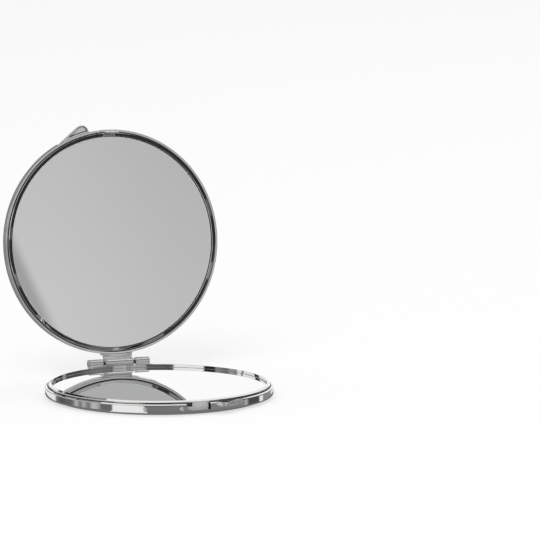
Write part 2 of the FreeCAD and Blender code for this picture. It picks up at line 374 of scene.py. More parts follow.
def adhesive_film():
    """Thin milky film with trapped air."""
    finish = Finish("adhesive_film")
    air = finish.patches(0.5, 0.65, scale=180, detail=4.0)
    shade = finish.mix(air, (0.9, 0.88, 0.8), (0.96, 0.95, 0.92))
    return finish.set(Base_Color=shade, Roughness=air * 0.3 + 0.25)


spring_finish = lined_steel("spring_steel", (0.8, 0.8, 0.8), stretch=(0.05, 0.05, 1), dull=0.2, bright=0.5)
wire_finish = lined_steel("pin_steel", (0.74, 0.74, 0.735), stretch=(0.05, 1, 1), dull=0.08)
rivet_finish = lined_steel("rivet_steel", (0.84, 0.84, 0.835), stretch=(1, 1, 1), dull=0.1, bright=0.6)
# Painted shade: a near-black steel for the ring legs in the gap by the wall, the pin between the knuckles
# and the tab pockets.
painted_shade_finish = lined_steel("raw_strip", (0.06, 0.06, 0.06), stretch=(1, 1, 0.05), dull=0.4, bright=0.3)
plate_finish = turned_steel()
for node in ("lid_mirror_pad", "base_mirror_pad"):
    frame["nodes"][node].material_slots[0].material = foam_tape()
for node in ("lid_print_glue", "base_plate_glue"):
    frame["nodes"][node].material_slots[0].material = adhesive_film()
steels = (spring_finish, wire_finish, rivet_finish, painted_shade_finish, plate_finish)
print("steel:", [steel.name for steel in steels])

# %% [markdown]
# The lid's print is a generic garland in soft watercolour: five-petalled blossoms, leaves and small dots
# around an open middle, on a wash that runs from pink to pale blue. A white line at the edge is a painted
# highlight of the lens's rim.
# A Voronoi texture places the motifs: each cell gives one motif its middle and a random colour, so one
# set of sums draws a whole field of them.

# %% Garland print
PINK, ROSE, MAGENTA = (0.80, 0.32, 0.50), (0.70, 0.14, 0.31), (0.60, 0.03, 0.24)
LILAC, MINT, TEAL = (0.50, 0.38, 0.68), (0.36, 0.68, 0.58), (0.16, 0.48, 0.52)
YELLOW, WASH_PINK, WASH_BLUE = (0.82, 0.50, 0.10), (0.74, 0.60, 0.74), (0.70, 0.80, 0.90)
CLOUD, PETAL_TIP, LEAF_TIP = (0.95, 0.93, 0.97), (0.96, 0.86, 0.92), (0.93, 0.97, 0.95)
PALE_PINK, PALE_MINT, RIM_HIGHLIGHT = (0.88, 0.48, 0.62), (0.48, 0.76, 0.68), (0.95, 0.95, 0.95)
GREENS = [(0.0, MINT), (0.45, PALE_MINT), (0.7, LILAC), (1.0, TEAL)]
PINKS = [(0.0, PINK), (0.3, ROSE), (0.52, PALE_PINK), (0.7, LILAC), (0.85, MAGENTA), (1.0, ROSE)]
# A field of motifs: cells in a radius, shift, size of a motif, and the garland's inner and outer edge.
LEAF_FIELDS = [(2.5, 4.1, (0.55, 0.15), (0.42, 0.99)), (4.0, 9.7, (0.5, 0.13), (0.5, 0.99))]
BLOSSOM_FIELDS = [(2.0, 2.3, 0.4, (0.45, 0.9)), (4.6, 7.9, 0.36, (0.5, 0.99))]
DOT_CELLS, DOT_SHIFT, DOT_GARLAND = 13.0, 5.3, (0.3, 1.0)


class Motifs:
    """One motif in each cell of a Voronoi texture over the print's UV map."""

    def __init__(self, finish, place, scale, shift):
        self.finish = finish
        shift = (shift, 0.37 * shift, 0)
        shifted = finish.node("ShaderNodeMapping", Vector=place, Location=shift)
        settings = {"voronoi_dimensions": "2D"}
        cells = finish.node("ShaderNodeTexVoronoi", settings, Vector=shifted, Scale=scale, Randomness=0.4)
        self.chance = finish.node("ShaderNodeSeparateColor", None, "Red", Color=cells.also("Color"))
        self.second_chance = self.chance.also("Green")
        self.third_chance = self.chance.also("Blue")
        middle = cells.also("Position")
        offset = finish.vector("SUBTRACT", shifted, middle)
        across = finish.node("ShaderNodeSeparateXYZ", None, "X", Vector=offset)
        self.x = across * scale
        self.y = across.also("Y") * scale
        self.distance = (self.x * self.x + self.y * self.y).math("SQRT")
        self.angle = self.y.math("ARCTAN2", self.x)
        self.from_middle = finish.length(finish.vector("SUBTRACT", middle, shift))

    def in_garland(self, low, high):
        """1 where the motif's middle lies between two distances from the print's middle."""
        inner = self.finish.step(self.from_middle, low, low + 0.02)
        outer = self.finish.step(self.from_middle, high, high + 0.02)
        return inner * (1 - outer)


def blossoms(finish, base, motifs, size, ragged, garland):
    """Five-petalled blossoms in random tints, with darker hearts and yellow middles."""
    turn = motifs.third_chance * math.tau
    lobes = abs((motifs.angle * 2.5 + turn).math("COSINE"))
    reach = (lobes.math("SQRT") * 0.55 + 0.45) * (motifs.second_chance * 0.35 + 0.75) * size
    edge = motifs.distance + ragged * 0.06
    petal = 1 - finish.step(edge / reach, 0.9, 1.0)
    tint = finish.ramp(motifs.chance, PINKS)
    depth = (motifs.distance / reach).math("MINIMUM", 1.0)
    veins = abs((motifs.angle * 17 + turn).math("SINE")) ** 3
    soft = finish.mix(depth * 0.25 + veins * 0.3, tint, PETAL_TIP)
    heart = 1 - finish.step(depth, 0.1, 0.42)
    soft = finish.mix(heart * 0.55, soft, MAGENTA)
    pollen = 1 - finish.step(depth, 0.08, 0.16)
    soft = finish.mix(pollen * 0.9, soft, YELLOW)
    rim = finish.step(depth, 0.82, 0.97)
    soft = finish.mix(rim * 0.55, soft, ROSE)
    strength = petal * motifs.in_garland(*garland) * (ragged * 0.5 + 0.95)
    return finish.mix(strength, base, soft)


def leaves(finish, base, motifs, size, ragged, garland):
    """Pointed leaves at random turns, with a pale midrib."""
    length, width = size
    turn = motifs.third_chance * math.tau
    cos, sin = turn.math("COSINE"), turn.math("SINE")
    along = (motifs.x * cos + motifs.y * sin) / length
    across = motifs.x * sin - motifs.y * cos
    half = (1 - along * along).math("MAXIMUM", 0.0) * width
    edge = half - abs(across) + ragged * 0.03
    blade = finish.step(edge, 0.0, 0.035)
    rib = 1 - finish.step(abs(across), 0.004, 0.02)
    tint = finish.ramp(motifs.chance, GREENS)
    soft = finish.mix(rib * 0.6 + along.math("MAXIMUM", 0.0) * 0.3, tint, LEAF_TIP)
    strength = blade * motifs.in_garland(*garland) * (ragged * 0.5 + 0.85)
    return finish.mix(strength, base, soft)


def garland_print():
    """The printed disc's finish: wash, leaves, blossoms and dots."""
    finish = Finish("garland_print")
    uv = finish.node("ShaderNodeTexCoord", None, "UV")
    place = finish.node("ShaderNodeMapping", Vector=uv, Location=(-1, -1, 0), Scale=(2, 2, 1))
    upward = finish.node("ShaderNodeSeparateXYZ", None, "Y", Vector=place)
    cloud = finish.noise(place, scale=2.6, detail=5.0, roughness=0.6)
    ragged = finish.noise(place, scale=16, detail=4.0, roughness=0.65) - 0.5
    colour = finish.mix(finish.step(upward + (cloud - 0.5) * 1.3, -0.6, 0.7), WASH_BLUE, WASH_PINK)
    colour = finish.mix(finish.step(cloud, 0.42, 0.75) * 0.55, colour, CLOUD)
    for draw, fields in ((leaves, LEAF_FIELDS), (blossoms, BLOSSOM_FIELDS)):
        for cells, shift, size, garland in fields:
            colour = draw(finish, colour, Motifs(finish, place, cells, shift), size, ragged, garland)
    dots = Motifs(finish, place, DOT_CELLS, DOT_SHIFT)
    dot = (1 - finish.step(dots.distance, 0.1, 0.16)) * finish.step(dots.chance, 0.6, 0.62)
    tint = finish.ramp(dots.second_chance, [(0.0, YELLOW), (0.5, ROSE), (1.0, MINT)])
    colour = finish.mix(dot * dots.in_garland(*DOT_GARLAND) * 0.8, colour, tint)
    # Painted highlight: a white line round the edge, standing in for the lens rim's shine.
    colour = finish.mix(finish.step(finish.length(place), 0.975, 0.982), colour, RIM_HIGHLIGHT)
    paper = finish.noise(place, scale=90, detail=3.0)
    colour = finish.mix(paper * 0.05, colour, (1, 1, 1))
    return finish.set(Base_Color=colour, Roughness=paper * 0.1 + 0.35)


def clear_resin():
    """Cast resin lens over the print: clear from above, with a shine that grows at flat angles."""
    finish = Finish("clear_resin")
    scuff = finish.patches(0.55, 0.75, scale=120, detail=3.0)
    slant = finish.node("ShaderNodeLayerWeight", None, "Facing", Blend=0.5)
    shine = slant ** 4 * 0.6 + scuff * 0.01 + 0.035
    return finish.set(
        Base_Color=(0.97, 0.97, 0.98), Metallic=1.0, Roughness=scuff * 0.02 + 0.01, Alpha=shine
    )


print_finish = garland_print()
resin_finish = clear_resin()
print("print nodes:", len(print_finish.node_tree.nodes))

# %% [markdown]
# Almost every piece is turned on a lathe, so one Geometry Nodes tree turns them all. It takes a profile,
# copies it round the axis, merges the seam and, where asked, cuts a notch with a box.

# %% The lathe
ROUND_STEPS = 320
MERGE = 0.0002 * MM
SHARP_ANGLE = math.radians(32)


class NodeSheet(Sheet):
    """A Geometry Nodes tree with named inputs."""

    def __init__(self, name, inputs):
        tree = bpy.data.node_groups.new(name, "GeometryNodeTree")
        super().__init__(tree)
        tree.is_modifier = True
        tree.interface.new_socket("Geometry", in_out="OUTPUT", socket_type="NodeSocketGeometry")
        self.ids = {}
        for title, kind in {"Geometry": "NodeSocketGeometry", **inputs}.items():
            self.ids[title] = tree.interface.new_socket(title, in_out="INPUT", socket_type=kind).identifier
        self.entry = tree.nodes.new("NodeGroupInput")
        self.exit = tree.nodes.new("NodeGroupOutput")

    def given(self, title):
        return Wire(self.tree, self.entry.outputs[title])

    def close(self, geometry):
        """Ends the tree in Realize Instances and Set Material."""
        real = self.node("GeometryNodeRealizeInstances", Geometry=geometry)
        painted = self.node("GeometryNodeSetMaterial", Geometry=real, Material=self.given("Finish"))
        self.tree.links.new(painted.socket, self.exit.inputs[0])

    def run(self, obj, **values):
        """The tree's result on an object, as a plain mesh."""
        modifier = obj.modifiers.new("shape", "NODES")
        modifier.node_group = self.tree
        for title, value in values.items():
            modifier[self.ids[title.replace("_", " ")]] = value
        evaluated = obj.evaluated_get(bpy.context.evaluated_depsgraph_get())
        mesh = bpy.data.meshes.new_from_object(evaluated)
        obj.modifiers.remove(modifier)
        mesh.materials.clear()
        mesh.materials.append(values["Finish"])
        mesh.polygons.foreach_set("material_index", [0] * len(mesh.polygons))
        return mesh


def lathe_tree():
    """Turns a profile of (radius, 0, height) points about Z."""
    numbers = {"Steps": "NodeSocketInt", "Start": "NodeSocketFloat", "Sweep": "NodeSocketFloat"}
    cut = {"Cut": "NodeSocketBool", "Cut Middle": "NodeSocketVector", "Cut Size": "NodeSocketVector"}
    sheet = NodeSheet("lathe", {**numbers, **cut, "Finish": "NodeSocketMaterial"})
    profile, steps = sheet.given("Geometry"), sheet.given("Steps")
    count = sheet.node("GeometryNodeAttributeDomainSize", None, "Point Count", Geometry=profile)
    grid = sheet.node("GeometryNodeMeshGrid", Vertices_X=steps + 1, Vertices_Y=count)
    index = sheet.node("GeometryNodeInputIndex")
    row = index.math("MODULO", count)
    turn = (index / count).math("FLOOR") / steps * sheet.given("Sweep") + sheet.given("Start")
    point = sheet.node(
        "GeometryNodeSampleIndex",
        {"data_type": "FLOAT_VECTOR"},
        Geometry=profile,
        Value=sheet.node("GeometryNodeInputPosition"),
        Index=row,
    )
    radius = sheet.node("ShaderNodeSeparateXYZ", None, "X", Vector=point)
    height = radius.also("Z")
    spot = sheet.node(
        "ShaderNodeCombineXYZ", X=radius * turn.math("COSINE"), Y=radius * turn.math("SINE"), Z=height
    )
    turned_grid = sheet.node("GeometryNodeSetPosition", Geometry=grid, Position=spot)
    closed = sheet.node("GeometryNodeMergeByDistance", Geometry=turned_grid, Distance=MERGE)
    box = sheet.node("GeometryNodeMeshCube", Size=sheet.given("Cut Size"))
    box = sheet.node("GeometryNodeTransform", Geometry=box, Translation=sheet.given("Cut Middle"))
    settings = {"operation": "DIFFERENCE", "solver": "EXACT"}
    notched = sheet.node("GeometryNodeMeshBoolean", settings, Mesh_1=closed, Mesh_2=box)
    choices = {"Switch": sheet.given("Cut"), "False": closed, "True": notched}
    choice = sheet.node("GeometryNodeSwitch", {"input_type": "GEOMETRY"}, **choices)
    sheet.close(choice)
    return sheet


lathe = lathe_tree()
print("lathe tree:", len(lathe.tree.nodes), "nodes")

# %% [markdown]
# A profile is a list of corners, each with its rounding. Chrome shows every kink, so each rounding gets
# several steps, and a guard point just beyond it keeps the flat next to it flat in the shading. Low domes
# get points of their own.

# %% Profiles
CORNER_STEPS = 6
GUARD = 0.03 * MM
DOME_STEPS = 8


def rounded(corners, guard=GUARD):
    """Points of an outline from (across, up, rounding) corners."""
    points = []
    for i, (across, up, rounding) in enumerate(corners):
        here = Vector((across, up))
        if not rounding:
            points.append(here)
            continue
        back = (Vector(corners[i - 1][:2]) - here).normalized()
        ahead = (Vector(corners[(i + 1) % len(corners)][:2]) - here).normalized()
        half_angle = back.angle(ahead) / 2
        reach = rounding / math.tan(half_angle)
        middle = here + (back + ahead).normalized() * (rounding / math.sin(half_angle))
        start, end = here + back * reach, here + ahead * reach
        turn = (end - middle).angle_signed(start - middle)
        arc = [
            middle + Matrix.Rotation(turn * step / CORNER_STEPS, 2) @ (start - middle)
            for step in range(CORNER_STEPS + 1)
        ]
        points += [start + back * guard, *arc, end + ahead * guard] if guard else arc
    return points


def dome(radius, low, rise, steps=DOME_STEPS):
    """Profile of a low dome from its edge to its crown."""
    ball = (radius ** 2 + rise ** 2) / (2 * rise)
    around = [radius * (1 - step / steps) for step in range(steps + 1)]
    return [(r, low + rise - ball + math.sqrt(ball ** 2 - r ** 2)) for r in around]


print("profiles are rounded in", CORNER_STEPS, "steps")

# %% [markdown]
# A turned mesh is cleaned before it becomes a piece: doubled points are merged, open rims are closed and
# faces are turned outwards. The place of a piece goes into its mesh, so its object stays at the origin.

# %% Pieces from profiles
def in_scene(name, data):
    """A new object in the scene."""
    item = bpy.data.objects.new(name, data)
    bpy.context.scene.collection.objects.link(item)
    return item


def smooth(mesh):
    """Merges doubles, closes holes, turns faces outwards and shades smooth between sharp edges."""
    work = bmesh.new()
    work.from_mesh(mesh)
    bmesh.ops.remove_doubles(work, verts=work.verts, dist=MERGE)
    bmesh.ops.dissolve_degenerate(work, edges=work.edges, dist=MERGE)
    rims = [edge for edge in work.edges if edge.is_boundary]
    bmesh.ops.holes_fill(work, edges=rims, sides=0)
    bmesh.ops.recalc_face_normals(work, faces=work.faces)
    work.to_mesh(mesh)
    work.free()
    mesh.shade_smooth()
    mesh.set_sharp_from_angle(angle=SHARP_ANGLE)
    return mesh


def turned(profile, finish, start=0.0, sweep=math.tau, cut=None):
    """A mesh turned from a profile in a half's own frame, with a box cut from low to high corner."""
    line = bpy.data.meshes.new("profile")
    line.from_pydata([(r, 0, h) for r, h in profile], [(i, i + 1) for i in range(len(profile) - 1)], [])
    holder = in_scene("profile", line)
    low, high = [Vector(corner) for corner in cut or ((0, 0, 0), (MM, MM, MM))]
    mesh = lathe.run(
        holder,
        Steps=ROUND_STEPS,
        Start=start,
        Sweep=sweep,
        Cut=cut is not None,
        Cut_Middle=(low + high) / 2,
        Cut_Size=high - low,
        Finish=finish,
    )
    bpy.data.objects.remove(holder)
    return smooth(mesh)


def painted(mesh, pick, *finishes):
    """Gives a mesh more finishes, and each face the one that is picked by the face's middle."""
    for finish in finishes:
        mesh.materials.append(finish)
    for face in mesh.polygons:
        face.material_index = int(pick(face.center))
    return mesh


def add_piece(name, mesh, body, slot, *nodes, place=None):
    """A finished piece: its place goes into the mesh, then it rides on its body for its nodes."""
    mesh.transform(place or places[body])
    mesh.name = name
    piece = in_scene(name, mesh)
    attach(piece, body)
    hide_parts(*nodes)


print("pieces are turned in", ROUND_STEPS, "steps")

# %% [markdown]
# Each pan is pressed from one sheet. Its outer rim steps down in three rounded terraces, with a fine
# groove at the foot of each step, and its wall is notched at the front for the catch. A boolean inside the
# lathe's tree cuts the notch, because a plain turned wall has no way to stop there. The base's wall has
# an edge that slopes outwards and catches the light, and the lid's is flat and crisp.

# %% The two pans
wall_thickness, terrace_drop = 0.7 * MM, 0.38 * MM
shoulder_width, middle_width, crest_width = 1.4 * MM, 1.05 * MM, 1.0 * MM
wall_inner = case_radius - wall_thickness
shoulder_inner = case_radius - shoulder_width
middle_inner = shoulder_inner - middle_width
crest_inner = middle_inner - crest_width
shoulder_height = half_thickness - 2 * terrace_drop
middle_height = half_thickness - terrace_drop
groove = 0.12 * MM
groove_width = 1.5 * groove
floor_rounding, wall_rounding, recess_rounding = 0.15 * MM, 0.06 * MM, 0.05 * MM
shoulder_rounding, terrace_rounding, crest_rounding = 0.62 * MM, 0.34 * MM, 0.2 * MM
groove_rim, groove_foot = 0.1 * MM, 0.03 * MM
base_edge_slope = math.radians(25)
lid_edge_rounding, base_edge_rounding = 0.15 * MM, 0.25 * MM
notch_margin, cut_overrun = 0.15 * MM, 1.0 * MM
notch_floor = floor_height - notch_margin
lid_notch_middle, lid_notch_half, lid_notch_depth = 0.7 * MM, 2.4 * MM, 0.8 * MM
base_notch_low, base_notch_high = -4.05 * MM, 3.65 * MM
front = -case_radius - cut_overrun


def pan_profile(edge_slope, edge_rounding):
    """Section of a pan, from the middle of its floor round the rim to the middle of its recess."""
    edge_drop = (case_radius - wall_inner) * math.tan(edge_slope)
    return rounded([
        (0, floor_height, 0),
        (wall_inner, floor_height, floor_rounding),
        (wall_inner, wall_edge, wall_rounding),
        (case_radius, wall_edge + edge_drop, edge_rounding),
        (case_radius, shoulder_height, shoulder_rounding),
        (shoulder_inner + groove_width, shoulder_height, groove_rim),
        (shoulder_inner, shoulder_height - groove, groove_foot),
        (shoulder_inner, middle_height, terrace_rounding),
        (middle_inner + groove_width, middle_height, groove_rim),
        (middle_inner, middle_height - groove, groove_foot),
        (middle_inner, half_thickness, terrace_rounding),
        (crest_inner, half_thickness, crest_rounding),
        (crest_inner, recess_height, recess_rounding),
        (0, recess_height, 0),
    ])


def wall_cut(x_low, x_high, depth):
    """Box through the front of the wall, down from the parting plane."""
    return (x_low, front, -cut_overrun), (x_high, -bezel_radius, depth)


lid_notch = (lid_notch_middle - lid_notch_half, lid_notch_middle + lid_notch_half)
lid_cut = wall_cut(*lid_notch, wall_edge + lid_notch_depth)
base_cut = wall_cut(base_notch_low, base_notch_high, notch_floor)
edges = {
    "lid": (lid_cut, 0.0, lid_edge_rounding),
    "base": (base_cut, base_edge_slope, base_edge_rounding),
}
for body, (cut, edge_slope, edge_rounding) in edges.items():
    pan = turned(pan_profile(edge_slope, edge_rounding), case_chrome, cut=cut)
    add_piece(f"{body}_pan", pan, body, "case_chrome", f"{body}_shell")
print("pans:", len(pan.polygons), "faces in the base's")

# %% [markdown]
# A thin ring rolled from strip holds each mirror. Its ends meet in a small butt gap at the front, so the
# lathe sweeps it a little short of a full turn, and the two ends are closed as caps. The lip slopes
# outwards, because a sloped lip shows one part of the room, where a half-round lip shows all of it.

# %% The mirror rings
split_place = -3.7 * MM
split_gap = 0.25 * MM
leg_thickness, lip_overlap = 0.4 * MM, 0.6 * MM
ring_inner = bezel_radius - leg_thickness
ring_opening = mirror_radius - lip_overlap
split_angle = -math.pi / 2 + math.asin(split_place / bezel_radius)
gap_angle = split_gap / bezel_radius
lip_slope = math.radians(24)
lip_drop = (bezel_radius - ring_opening) * math.tan(lip_slope)
lip_under, lip_inner, lip_outer = 0.06 * MM, 0.05 * MM, 0.3 * MM
leg_shade_start = bezel_top + lip_drop + lip_outer


def ring_profile():
    """Section of a mirror ring: a standing leg with a lip over the glass that slopes outwards."""
    loop = rounded([
        (ring_opening, mirror_face, lip_under),
        (ring_opening, bezel_top, lip_inner),
        (bezel_radius, bezel_top + lip_drop, lip_outer),
        (bezel_radius, floor_height, 0),
        (ring_inner, floor_height, 0),
        (ring_inner, mirror_face, 0),
    ])
    return loop + loop[:1]


def ring_mesh():
    """Mirror ring whose leg below the lip is painted dark, as painted shade in the gap by the pan's wall.
    """
    mesh = turned(ring_profile(), case_chrome, split_angle + gap_angle / 2, math.tau - gap_angle)
    return painted(mesh, lambda spot: spot.z > leg_shade_start and spot.xy.length > ring_inner, painted_shade_finish)


for body in places:
    ring = ring_mesh()
    add_piece(f"{body}_mirror_ring", ring, body, "case_chrome", f"{body}_bezel")
print("rings:", len(ring.polygons), "faces each")

# %% [markdown]
# The mirrors are glass discs with a ground bevel round the face. The bevel's faces get painted shade, and
# the thin line where it starts gets a painted highlight.

# %% The mirrors
bevel_width = 0.78 * MM
bevel_drop = 0.15 * MM
arris_width = 0.18 * MM
arris_rounding, glass_rounding = 0.3 * MM, 0.05 * MM
bevel_start = mirror_radius - bevel_width


def mirror_mesh():
    """Mirror disc with a bevelled edge."""
    profile = rounded([
        (0, mirror_face, 0),
        (bevel_start - arris_width, mirror_face, 0),
        (bevel_start, mirror_face, arris_rounding),
        (mirror_radius, mirror_face + bevel_drop, glass_rounding),
        (mirror_radius, mirror_back, glass_rounding),
        (0, mirror_back, 0),
    ])
    # Faces past the first radius get the painted highlight, and faces past the second get the painted
    # shade.
    starts = (bevel_start - arris_width, bevel_start)
    mesh = turned(profile, glass_finish)
    return painted(mesh, lambda spot: sum(spot.xy.length > r for r in starts), arris_highlight_finish, bevel_shade_finish)


for body in places:
    add_piece(f"{body}_looking_glass", mirror_mesh(), body, "mirror_glass", f"{body}_mirror")
print(f"mirrors: {2 * mirror_radius / MM:.1f} mm across")

# %% [markdown]
# A printed disc lies in the lid's recess under a lens of clear resin, and a plain polished disc lies in
# the base's. A hair of room between print and lens keeps their faces from fighting for the same place.

# %% The print, its lens and the back disc
print_thickness, inlay_thickness, lens_edge = 0.3 * MM, 0.65 * MM, 0.15 * MM
print_margin, air = 0.05 * MM, 0.01 * MM
dome_low, dome_high = inlay_low + print_thickness, inlay_low + inlay_thickness
dome_edge = dome_low + lens_edge
print_radius = inlay_radius - print_margin
lens_foot, lens_rounding = 0.03 * MM, 0.08 * MM
disc_foot, disc_rounding = 0.05 * MM, 0.2 * MM
LENS_STEPS, LENS_EDGE_STEPS = 24, 2


def print_mesh():
    """Printed disc with a UV map that spans it from edge to edge."""
    top = dome_low - air
    profile = [(0, inlay_low), (print_radius, inlay_low), (print_radius, top), (0, top)]
    mesh = turned(profile, print_finish)
    uv = mesh.uv_layers.new(name="print")
    for loop in mesh.loops:
        spot = mesh.vertices[loop.vertex_index].co.xy / (2 * inlay_radius)
        uv.data[loop.index].uv = (spot.x + 0.5, spot.y + 0.5)
    return mesh


def lens_mesh():
    """Shallow lens with a rounded edge."""
    arc = dome(inlay_radius, dome_edge, dome_high - dome_edge, LENS_STEPS)[LENS_EDGE_STEPS:]
    edge = rounded([
        (0, dome_low, 0),
        (inlay_radius, dome_low, lens_foot),
        (inlay_radius, dome_edge, lens_rounding),
        (*arc[0], 0),
    ])
    return turned([*edge, *arc[1:]], resin_finish)


def back_disc_mesh():
    """Plain disc with a rounded edge."""
    return turned(rounded([
        (0, inlay_low, 0),
        (inlay_radius, inlay_low, disc_foot),
        (inlay_radius, half_thickness, disc_rounding),
        (0, half_thickness, 0),
    ]), plate_finish)


add_piece("lid_print", print_mesh(), "lid", "printed_metal", "lid_print_disc")
add_piece("lid_lens", lens_mesh(), "lid", "clear_resin", "lid_print_dome")
add_piece("base_back_disc", back_disc_mesh(), "base", "back_plate_steel", "base_back_plate")
print(f"inlays: {2 * inlay_radius / MM:.1f} mm across")

# %% [markdown]
# The knuckles and the thumb tabs can't be turned. Each is drawn as rows of points that match one to one,
# so the rows join face to face, and some of its edges are then finely rounded.

# %% Bodies from rows of points
EDGE_STEPS = 3


def joined(points, dark_band=None):
    """A closed work mesh from matching rows of points, and its rows. One band may get the second finish."""
    work = bmesh.new()
    rows = [[work.verts.new(point) for point in row] for row in points]
    for number, (row, following) in enumerate(zip(rows, rows[1:])):
        for i in range(len(row)):
            face = work.faces.new((row[i - 1], row[i], following[i], following[i - 1]))
            face.material_index = int(number == dark_band)
    for row in (rows[0], rows[-1]):
        work.faces.new(row)
    bmesh.ops.recalc_face_normals(work, faces=work.faces)
    return work, rows


def edges_along(work, row, first, last):
    """Edges of a row, each from the point before."""
    return [work.edges.get((row[i - 1], row[i])) for i in range(first, last)]


def edged(work, rims, edge, *finishes, steps=EDGE_STEPS):
    """A smooth mesh from a work mesh, with some of its edges rounded."""
    bmesh.ops.bevel(work, geom=rims, offset=edge, segments=steps, profile=0.5, affect="EDGES")
    mesh = bpy.data.meshes.new("body")
    work.to_mesh(mesh)
    work.free()
    for finish in finishes:
        mesh.materials.append(finish)
    return smooth(mesh)


print("edges are rounded in", EDGE_STEPS, "steps")

# %% [markdown]
# Each hinge knuckle is a barrel with a leaf that runs to a foot on the wall. The same section is drawn at
# many places along the barrel, because the foot follows the round wall and flares where it meets it.

# %% The hinge knuckles
leaf_thickness, foot_thickness, foot_margin = 1.05 * MM, 0.6 * MM, 0.6 * MM
leaf_inner = barrel_radius - leaf_thickness
foot_high = shoulder_height - foot_margin
foot_flare, flare_start, flare_length = 0.35 * MM, 0.3 * MM, 1.3 * MM
foot_rounding, foot_edge, leaf_root, knuckle_edge = 0.3 * MM, 0.28 * MM, 0.12 * MM, 0.08 * MM
leaf_fall = math.tan(math.radians(8))
leaf_grooves, leaf_groove_width = (0.2 * MM, 0.75 * MM), 0.4 * MM
leaf_groove_depth, leaf_groove_rounding = 0.16 * MM, 0.03 * MM
centre_half, knuckle_gap, side_reach = 4.6 * MM, 0.75 * MM, 5.35 * MM
side_near, side_far = centre_half + knuckle_gap, centre_half + side_reach
BARREL_STEPS = 40
SLICES = 14


def leaf_height(depth):
    """Height of the leaf's inner face, which falls back from the barrel to the wall."""
    return leaf_inner + (axis_y - barrel_radius - depth) * leaf_fall


def leaf_groove(start):
    """Corners of a shallow groove across the leaf."""
    shape = ((0.0, 0.0), (0.5, 1.0), (1.0, 0.0))
    corners = [(start + across * leaf_groove_width, up * leaf_groove_depth) for across, up in shape]
    return [(depth, leaf_height(depth) + up, leaf_groove_rounding) for depth, up in corners]


def knuckle_section(wall):
    """(depth, height) points of a knuckle round its barrel, along the leaf and down the wall."""
    first = math.pi - math.asin(leaf_inner / barrel_radius)
    last = 2.5 * math.pi
    turns = [first + (last - first) * step / BARREL_STEPS for step in range(BARREL_STEPS + 1)]
    barrel = [(axis_y + barrel_radius * math.cos(t), barrel_radius * math.sin(t)) for t in turns]
    foot = rounded([
        (wall + foot_thickness, barrel_radius, foot_rounding),
        (wall + foot_thickness, foot_high, foot_edge),
        (wall, foot_high, 0),
        (wall, leaf_height(wall), leaf_root),
        *leaf_groove(wall + leaf_grooves[0]),
        *leaf_groove(wall + leaf_grooves[1]),
        barrel[0] + (0,),
    ], guard=0)
    return barrel + [tuple(point) for point in foot[:-1]]


def knuckle_mesh(x_low, x_high):
    """Knuckle between two places along the hinge."""
    middle, half = (x_low + x_high) / 2, (x_high - x_low) / 2
    points = []
    for slice_number in range(SLICES + 1):
        share = 2 * slice_number / SLICES - 1
        plain_x = middle + share * half
        row = []
        for depth, height in knuckle_section(math.sqrt(case_radius ** 2 - plain_x ** 2)):
            near_wall = max(0.0, 1 - (depth - case_radius + flare_start) / flare_length)
            row.append((plain_x + share * foot_flare * near_wall ** 2, depth, height))
        points.append(row)
    work, rows = joined(points)
    rims = [edge for row in (rows[0], rows[-1]) for edge in edges_along(work, row, 0, len(row))]
    return edged(work, rims, knuckle_edge, hinge_chrome)


centre = knuckle_mesh(-centre_half, centre_half)
add_piece("lid_knuckle", centre, "lid", "hinge_chrome", "lid_hinge_knuckle")
for side, x_low, x_high in (("left", side_near, side_far), ("right", -side_far, -side_near)):
    knuckle = knuckle_mesh(x_low, x_high)
    add_piece(f"base_barrel_{side}", knuckle, "base", "hinge_chrome", f"base_knuckle_{side}")
print("knuckles:", len(centre.polygons), "faces in the centre one")

# %% [markdown]
# The hinge pin is wire whose two ends are peened over into low domes. It is turned upright and then laid
# along the hinge. Only its heads are bright: between the knuckles the wire is painted dark, as painted
# shade in the gaps.

# %% The hinge pin
pin_radius = 0.6 * MM
head_radius, head_rise = 0.95 * MM, 0.3 * MM
upper = [(pin_radius, side_far), *dome(head_radius, side_far, head_rise)]
lower = [(r, -h) for r, h in reversed(upper)]
lay = Matrix.Translation(axis_point) @ Matrix.Rotation(math.pi / 2, 4, "Y")
# Painted shade: the shank between the knuckles gets the near-black steel.
wire = painted(turned(lower + upper, wire_finish), lambda spot: abs(spot.z) < side_near, painted_shade_finish)
add_piece("hinge_wire", wire, "base", "pin_steel", "hinge_pin", place=lay)
print(f"pin: {2 * (side_far + head_rise) / MM:.1f} mm long")

# %% [markdown]
# The thumb tabs are cast ears on the wall. Each has a shallow pocket for the fingernail. The same plan is
# drawn in step by step for the pocket's rim and its floor, and the plans are the rows. The pocket's sides
# are painted dark, as painted shade in the corner.

# %% The thumb tabs
tab_drop = 0.9 * MM
tab_thickness = 1.4 * MM
tab_root, tab_tip, tab_end = -15.6 * MM, -7.2 * MM, -6.0 * MM
tab_reach = 4.0 * MM
tab_rim, tab_edge = 0.4 * MM, 0.12 * MM
tab_rounding, rounding_loss = 2.2 * MM, 1.25
pocket_depth, pocket_slope = 0.5 * MM, 0.25 * MM
PLAN_POINTS = CORNER_STEPS + 3
CURVE_STEPS = 12
POCKET_SIDES = 2


def on_circle(x, radius):
    """Point at the front of a circle round the case."""
    return Vector((x, -math.sqrt(radius ** 2 - x ** 2)))


def meeting(point, way, radius):
    """Where a line from a point outside first meets a circle round the case."""
    along = point.dot(way)
    return point - way * (along + math.sqrt(along ** 2 - point.length_squared + radius ** 2))


